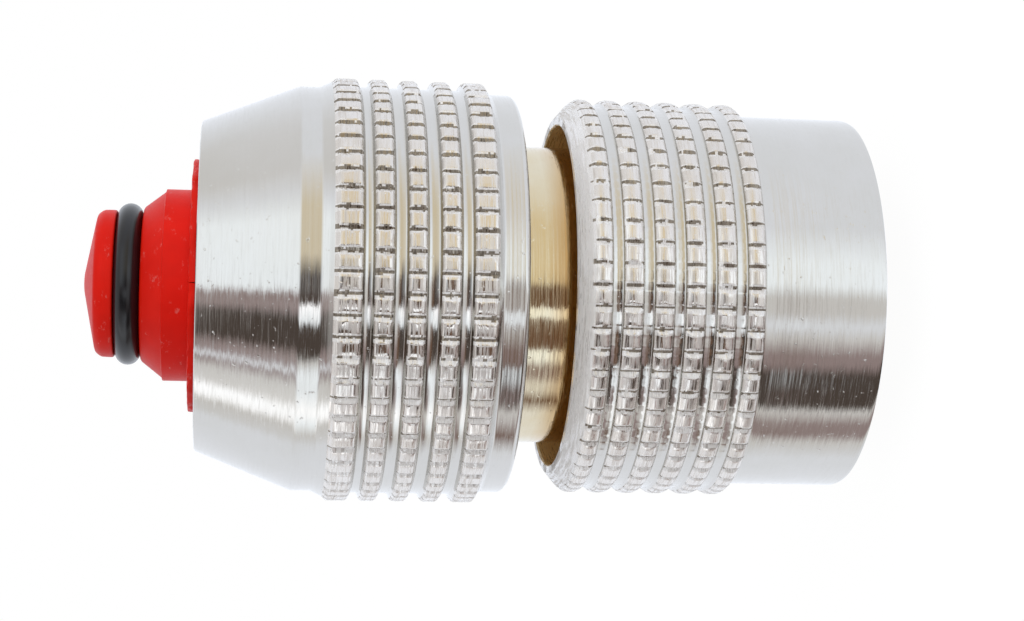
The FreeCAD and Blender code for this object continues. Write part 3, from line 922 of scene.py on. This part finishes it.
PLUNGER_R = 7.75
PLUNGER_SHOULDER_Z = 55.5
PLUNGER_SKIRT_Z = 40.0
PLUNGER_CHAMFER_END = (6.2, 57.25)
NOSE_GROOVE_R = 4.48
NOSE_DISC_R = 5.95
NOSE_RING_CENTRE = (5.5, 58.3)
NOSE_RING_WIRE = 1.0
NOSE_RING_STEPS = 28
NOSE_RING_COLUMNS = 160
NOSE_DISC_LOW = 59.35
NOSE_DISC_RIM = 60.85
NOSE_TIP = 61.85
STEM_FOOT_Z = 24.85
VALVE_HEAD_Z = 21.65
FLUTE_TOP = 51.8
FLUTE_FLOOR = 6.25
FLUTE_HALF_ANGLE = math.radians(16)
FIN_R = 5.7
FIN_THICK = 1.6
CORE_R = 2.2
PIN_R = 1.45
# how far one shell of the plunger reaches into the next
SHELL_OVERLAP = 0.1
PLUNGER_COLUMNS = 200
PLUNGER_ROUND = 0.22
# how far the moulded nose may fall short of its outline
MOULD_SHRINK = 0.03
CLAW_TOP = 53.4
CLAW_SLIT = 0.08
CLAW_ROUND = 0.14
CLAW_COLUMNS = 72
# the ragged flash on the claws' front rims: how far it goes in and out, and how far it falls back
FLASH_DEPTH = 0.2
FLASH_FALL = 0.3
FLASH_R = 9.7
CLAW_OUTLINE = [
    (8.8, 45.9), (10.9, 45.9), (10.9, 46.95), (9.45, 46.95), (9.45, 48.85), (10.17, 52.8), (10.17, 53.1),
    (10.17, 53.4), (9.6, 53.4), (7.95, 53.4), (7.95, 51.65), (8.8, 50.8),
]
COLLET_RING = [(10.4, 8.2), (13.0, 8.2), (13.0, 12.55), (10.4, 12.55)]
COLLET_FINGER = [(10.4, 2.2), (11.5, 2.2), (13.0, 6.2), (13.0, 8.4), (10.4, 8.4)]
COLLET_SLOT = 1.6
COLLET_FINGERS = 6
COLLET_ROUND = 0.15
COLLET_COLUMNS = 120
FINGER_COLUMNS = 24
TAIL_OUTLINE = [
    (5.75, 2.6), (7.2, 2.6), (7.8, 4.5), (7.2, 4.5), (7.8, 6.4), (7.2, 6.4), (7.8, 8.3), (7.2, 8.3),
    (7.8, 10.2), (7.2, 10.2), (7.2, 10.68), (9.9, 10.68), (9.9, 11.88), (8.0, 11.88), (8.0, 14.6),
    (6.8, 14.6), (6.8, 11.68), (5.75, 11.68),
]
RETAINER_OUTLINE = [
    (11.65, 44.32), (12.75, 44.32), (12.45, 45.85), (11.75, 47.65), (10.35, 47.65), (10.35, 47.0),
    (11.65, 47.0),
]
WASHER_OUTLINE = [(8.02, 11.89), (9.9, 11.89), (9.9, 12.58), (8.02, 12.58)]
HEAD_OUTLINE = [(1.47, 21.65), (7.4, 21.65), (7.4, 23.25), (5.3, 23.25), (5.3, 24.85), (1.47, 24.85)]
SEAL_OUTLINE = [(5.32, 23.25), (7.2, 23.25), (7.2, 24.75), (5.32, 24.75)]
SNAP_OUTLINE = [(13.13, 28.3), (15.2, 28.3), (15.2, 29.2), (13.13, 29.2)]
SNAP_OPENING = 4.0
SMALL_ROUND = 0.12
SMALL_COLUMNS = 144
# each spring's name, mean and wire radius, low and high end, turns, travel, joint and node
SPRINGS = (
    ("sleeve_coil", 13.95, 0.45, 30.55, 40.45, 4.5, 3.7, "sleeve_slide", "sleeve_spring"),
    ("valve_coil", 6.0, 0.3, 11.73, 21.6, 5.0, 6.5, "valve_slide", "valve_spring"),
)


def nose_ring():
    """The rubber ring on the plunger's nose."""
    radius, level = NOSE_RING_CENTRE
    points = [
        (radius + NOSE_RING_WIRE * math.cos(turn), level + NOSE_RING_WIRE * math.sin(turn))
        for turn in even_columns(NOSE_RING_STEPS)
    ]
    ring = lathe("rubber_nose_ring", points, even_columns(NOSE_RING_COLUMNS))
    dress(ring, "plunger", black, "black_rubber", "nose_ring")


def valve_plunger():
    """The red valve: a fluted cup with a coned nose above a cross-shaped stem."""
    outline = [
        (0, PLUNGER_SKIRT_Z),
        (PLUNGER_R, PLUNGER_SKIRT_Z),
        (PLUNGER_R, FLUTE_TOP - 0.01),
        (PLUNGER_R, FLUTE_TOP + 0.01),
        (PLUNGER_R, PLUNGER_SHOULDER_Z),
        (PLUNGER_R - 0.2, PLUNGER_SHOULDER_Z),
        PLUNGER_CHAMFER_END,
        (NOSE_GROOVE_R, PLUNGER_CHAMFER_END[1]),
        (NOSE_GROOVE_R, NOSE_DISC_LOW),
        (NOSE_DISC_R, NOSE_DISC_LOW),
        (NOSE_DISC_R, NOSE_DISC_RIM - 0.5),
        (NOSE_DISC_R - 0.35, NOSE_DISC_RIM),
        (0.7, NOSE_TIP),
        (0, NOSE_TIP),
    ]

    def shape(r, z, angle):
        aside = angle % (math.pi / 2) - math.pi / 4
        if z < FLUTE_TOP and r > FLUTE_FLOOR and abs(aside) < FLUTE_HALF_ANGLE:
            return FLUTE_FLOOR / math.cos(aside)
        if z > FLUTE_TOP and r > 1:
            swell = random_field.noise(Vector((math.cos(angle), math.sin(angle), z)) * 1.3)
            return r - MOULD_SHRINK * (1 + swell)
        return r

    fin = FIN_THICK / 2
    cross = [
        (fin, fin), (FIN_R, fin), (FIN_R, -fin), (fin, -fin), (fin, -FIN_R), (-fin, -FIN_R),
        (-fin, -fin), (-FIN_R, -fin), (-FIN_R, fin), (-fin, fin), (-fin, FIN_R), (fin, FIN_R),
    ]
    shells = [
        lathe_solid("cup", soften(outline, PLUNGER_ROUND), even_columns(PLUNGER_COLUMNS), shape),
        prism("fins", cross, STEM_FOOT_Z, PLUNGER_SKIRT_Z + SHELL_OVERLAP),
        rod("core", CORE_R, STEM_FOOT_Z, PLUNGER_SKIRT_Z + SHELL_OVERLAP),
        rod("pin", PIN_R, VALVE_HEAD_Z, STEM_FOOT_Z + SHELL_OVERLAP),
    ]
    dress(joined("red_valve_plunger", shells), "plunger", red, "red_plastic", "valve_plunger")


def claws():
    """Four quarter claws. Their front rims carry a ragged moulding flash."""

    def ragged(r, z, angle):
        if r > FLASH_R and z > CLAW_TOP - 0.7:
            spot = Vector((math.cos(angle), math.sin(angle), 0)) * 9
            r += FLASH_DEPTH * random_field.noise(spot + Vector((0, 0, z)))
            if z > CLAW_TOP - 0.2:
                z -= FLASH_FALL * max(0.0, random_field.noise(spot * 1.7))
        return r, z

    for number in range(4):
        first = number * math.pi / 2
        name = "claw_%d" % (number + 1)
        outline = soften(CLAW_OUTLINE, CLAW_ROUND, 2)
        claw = sector("red_" + name, outline, first, first + math.pi / 2, CLAW_SLIT, CLAW_COLUMNS, ragged)
        dress(claw, name, red, "red_plastic", name)


def hose_collet():
    """The ring under the body and its six fingers round the hose."""
    shells = [lathe("band", soften(COLLET_RING, COLLET_ROUND), even_columns(COLLET_COLUMNS))]
    finger = soften(COLLET_FINGER, COLLET_ROUND)
    share = TURN / COLLET_FINGERS
    for number in range(COLLET_FINGERS):
        first = number * TURN / COLLET_FINGERS
        shells.append(sector("finger", finger, first, first + share, COLLET_SLOT, FINGER_COLUMNS))
    dress(joined("split_collet", shells), "collet", white, "white_plastic", "hose_collet")


def small_parts():
    """The tail, the retaining ring, the washers, the valve head and the snap ring."""
    turned_parts = (
        ("barbed_tail", TAIL_OUTLINE, "body", brass, "brass", "hose_tail"),
        ("claw_cage", RETAINER_OUTLINE, "body", brass, "brass", "claw_retainer"),
        ("flat_washer", WASHER_OUTLINE, "body", black, "black_rubber", "tail_washer"),
        ("valve_disc", HEAD_OUTLINE, "plunger", red, "red_plastic", "valve_head"),
        ("valve_washer", SEAL_OUTLINE, "plunger", black, "black_rubber", "valve_seal"),
    )
    for name, outline, body, material, slot, node in turned_parts:
        piece = lathe(name, soften(outline, SMALL_ROUND), even_columns(SMALL_COLUMNS))
        dress(piece, body, material, slot, node)
    snap_outline = soften(SNAP_OUTLINE, SMALL_ROUND)
    snap = sector("snap_ring", snap_outline, 0, TURN, SNAP_OPENING, SMALL_COLUMNS)
    dress(snap, "sleeve", steel, "spring_steel", "stop_ring")


def springs():
    """The sleeve's spring and the valve's spring, each with a mesh of its own."""
    for name, radius, wire, low, high, turns, travel, joint, node in SPRINGS:
        spring = coil(name, radius, wire, low, high, turns)
        dress(spring, "body", steel, "spring_steel", node)
        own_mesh(spring)


# the stage

# in metres; the floor lies where the nut's end comes when it slides down
FLOOR_Z = -0.0038
FLOOR_REACH = 3.0
FLOOR_GREY = (0.85, 0.85, 0.85, 1)
# how bright the floor looks to the camera, and how much of that lies over its own shade there
FLOOR_GLOW = 1.06
FLOOR_GLOW_SHARE = 0.9


def stage():
    """A plain pale floor that keeps the object's shadow."""
    floor_mesh = bpy.data.meshes.new("floor")
    signs = [(-1, -1), (1, -1), (1, 1), (-1, 1)]
    corners = [(x * FLOOR_REACH, y * FLOOR_REACH, FLOOR_Z) for x, y in signs]
    floor_mesh.from_pydata(corners, [], [(0, 1, 2, 3)])
    floor = bpy.data.objects.new("floor", floor_mesh)
    bpy.context.scene.collection.objects.link(floor)
    floor.visible_glossy = False
    material = bpy.data.materials.new("pale floor")
    material.use_nodes = True
    tree = material.node_tree
    tree.nodes.clear()
    output = tree.nodes.new("ShaderNodeOutputMaterial")
    plain = tree.nodes.new("ShaderNodeBsdfDiffuse")
    plain.inputs["Color"].default_value = FLOOR_GREY
    bright = tree.nodes.new("ShaderNodeEmission")
    bright.inputs["Color"].default_value = (1, 1, 1, 1)
    bright.inputs["Strength"].default_value = FLOOR_GLOW
    path = tree.nodes.new("ShaderNodeLightPath").outputs
    seen = reckon(tree, "MAXIMUM", path["Is Camera Ray"], path["Is Glossy Ray"])
    mix = tree.nodes.new("ShaderNodeMixShader")
    tree.links.new(reckon(tree, "MULTIPLY", seen, FLOOR_GLOW_SHARE), mix.inputs["Fac"])
    tree.links.new(plain.outputs["BSDF"], mix.inputs[1])
    tree.links.new(bright.outputs["Emission"], mix.inputs[2])
    tree.links.new(mix.outputs["Shader"], output.inputs["Surface"])
    floor_mesh.materials.append(material)


# The studio that the bright metal reflects: a pale room with plain cards and bright strips round the object.
# Each card has a first and last angle round the axis, in degrees from the camera and positive towards the
# photograph's top, and one of eight tones. Neighbours blend over the gap between them.
PALE = (1.02, 1.07, 1.16)
BRIGHT = (1.3, 1.4, 1.5)
STRIP = (1.7, 1.75, 1.85)
GREY = (0.85, 0.85, 0.85)
WARM = (0.9, 0.8, 0.6)
DIM = (0.4, 0.32, 0.32)
BROWN = (0.2, 0.12, 0.08)
DARK = (0.1, 0.08, 0.07)
LOW_CARDS = (
    (-180, -115, PALE), (-98, -98, GREY), (-91, -82, DIM), (-73, -73, GREY), (-68, -47, DARK),
    (-40, -34, DIM), (-24, -24, GREY), (-16, -16, PALE), (-8, 1, GREY), (9, 22, BRIGHT), (45, 180, PALE),
)
NECK_CARDS = (
    (-180, -104, PALE), (-90, -90, BROWN), (-80, -74, GREY), (-65, -58, DIM), (-51, -45, BRIGHT),
    (-42, -20, BROWN), (-18, -12, BRIGHT), (-10, 4, BROWN), (9, 55, WARM), (95, 180, PALE),
)
MIDDLE_CARDS = (
    (-180, -100, PALE), (-91, -91, GREY), (-82, -82, BRIGHT), (-74, -74, STRIP), (-62, -49, BRIGHT),
    (-43, -43, GREY), (-39, -22, DARK), (-20, -20, BRIGHT), (-11, -11, STRIP), (-9, 6, DARK),
    (18, 45, WARM), (80, 180, PALE),
)
HIGH_CARDS = (
    (-180, -107, PALE), (-101, -93, GREY), (-87, -81, STRIP), (-75, -65, GREY), (-58, -58, DIM),
    (-54, -54, PALE), (-50, -46, DIM), (-38, -20, DARK), (-14, -6, DIM), (-1, 45, BRIGHT), (62, 62, PALE),
    (78, 112, GREY), (140, 180, PALE),
)
TOP_CARDS = ((-180, -180, PALE), (0, 0, GREY), (180, 180, PALE))
# how far towards the object's front each ring of cards stands, as the height of its direction
CARD_RINGS = (
    (-0.27, LOW_CARDS),
    (-0.14, NECK_CARDS),
    (-0.03, MIDDLE_CARDS),
    (0.69, HIGH_CARDS),
    (0.88, TOP_CARDS),
)
# tones are stored as shares of this
BRIGHTEST = 2.0
# how strongly the room lights what isn't bright metal
ROOM_LIGHT = 0.55


def card_edges(cards):
    """The angle and tone at both edges of each card, once where the edges are the same."""
    edges = []
    for first, last, tone in cards:
        edges.append((first, tone))
        if last > first:
            edges.append((last, tone))
    return edges


def world():
    """The studio: what the metal reflects, a white background, and plain light for all else."""
    scene_world = bpy.data.worlds.new("pale studio")
    bpy.context.scene.world = scene_world
    scene_world.use_nodes = True
    tree = scene_world.node_tree
    background = tree.nodes["Background"]
    place = tree.nodes.new("ShaderNodeTexCoord")
    parts = tree.nodes.new("ShaderNodeSeparateXYZ")
    tree.links.new(place.outputs["Generated"], parts.inputs["Vector"])
    towards = reckon(tree, "MULTIPLY", parts.outputs["Y"], -1.0)
    angle = reckon(tree, "ARCTAN2", parts.outputs["X"], towards)
    share = remap(tree, angle, 0, 1, -math.pi, math.pi)
    colour = None
    last_level = None
    for level, cards in CARD_RINGS:
        edges = card_edges(cards)
        ramp = tree.nodes.new("ShaderNodeValToRGB")
        ramp.color_ramp.interpolation = "LINEAR"
        stops = ramp.color_ramp.elements
        while len(stops) < len(edges):
            stops.new(0.5)
        for stop, (degrees, tone) in zip(stops, edges):
            stop.position = (degrees + 180) / 360
            stop.color = (*[value / BRIGHTEST for value in tone], 1)
        tree.links.new(share, ramp.inputs["Fac"])
        ring = ramp.outputs["Color"]
        if colour is None:
            colour = ring
        else:
            blend = remap(tree, parts.outputs["Z"], 0, 1, last_level, level)
            colour = mix_colour(tree, blend, colour, ring)
        last_level = level
    path = tree.nodes.new("ShaderNodeLightPath").outputs
    white = (1 / BRIGHTEST, 1 / BRIGHTEST, 1 / BRIGHTEST)
    shown = mix_colour(tree, path["Is Glossy Ray"], white, colour)
    tree.links.new(shown, background.inputs["Color"])
    seen = reckon(tree, "MAXIMUM", path["Is Camera Ray"], path["Is Glossy Ray"])
    seen = reckon(tree, "MAXIMUM", seen, path["Is Transmission Ray"])
    strength = remap(tree, seen, ROOM_LIGHT * BRIGHTEST, BRIGHTEST)
    tree.links.new(strength, background.inputs["Strength"])


# the lamp: its angle round the axis from the camera towards the photograph's top, its distance and size in
# metres, and its brightness
LAMP_ANGLE = math.radians(45)
LAMP_DISTANCE = 0.42
LAMP_WIDTH = 0.62
LAMP_HEIGHT = 0.9
LAMP_RADIANCE = 0.9
OBJECT_MIDDLE = Vector((0, 0, 0.031))


def matrix_at(position, right, up, back):
    """A matrix with the given place and axes."""
    matrix = Matrix((right, up, back)).transposed().to_4x4()
    matrix.translation = position
    return matrix


def soft_box():
    """An area lamp that faces the object's middle."""
    lamp = bpy.data.lights.new("key", "AREA")
    lamp.shape = "RECTANGLE"
    lamp.size = LAMP_WIDTH
    lamp.size_y = LAMP_HEIGHT
    lamp.energy = LAMP_RADIANCE * math.pi * LAMP_WIDTH * LAMP_HEIGHT
    position = OBJECT_MIDDLE + Vector((math.sin(LAMP_ANGLE), -math.cos(LAMP_ANGLE), 0)) * LAMP_DISTANCE
    back = (position - OBJECT_MIDDLE).normalized()
    right = Vector((0, 0, 1)).cross(back).normalized()
    obj = bpy.data.objects.new("key", lamp)
    obj.matrix_world = matrix_at(position, right, back.cross(right), back)
    obj.visible_camera = False
    obj.visible_glossy = False
    bpy.context.scene.collection.objects.link(obj)


def camera():
    """The photograph's camera: level along the object, then turned, raised and rolled."""
    data = bpy.data.cameras.new("camera")
    data.sensor_width = SENSOR
    data.lens = SENSOR * FOCAL_PIXELS / IMAGE_WIDTH
    data.clip_start, data.clip_end = CAMERA_CLIP
    along = Vector((0, 0, -1))
    away = Vector((0, 1, 0))
    above = Vector((1, 0, 0))
    level_right = along * math.cos(CAMERA_YAW) - away * math.sin(CAMERA_YAW)
    level_ahead = along * math.sin(CAMERA_YAW) + away * math.cos(CAMERA_YAW)
    forward = level_ahead * math.cos(CAMERA_PITCH) + above * math.sin(CAMERA_PITCH)
    level_up = above * math.cos(CAMERA_PITCH) - level_ahead * math.sin(CAMERA_PITCH)
    right = level_right * math.cos(CAMERA_ROLL) + level_up * math.sin(CAMERA_ROLL)
    up = level_up * math.cos(CAMERA_ROLL) - level_right * math.sin(CAMERA_ROLL)
    obj = bpy.data.objects.new("camera", data)
    obj.matrix_world = matrix_at(Vector(CAMERA_PLACE) * MM, right, up, -forward)
    bpy.context.scene.collection.objects.link(obj)
    bpy.context.scene.camera = obj


camera()
release_sleeve()
hose_nut()
main_body()
nose_ring()
valve_plunger()
claws()
hose_collet()
small_parts()
springs()
stage()
world()
soft_box()

bpy.context.scene.view_settings.view_transform = "Standard"
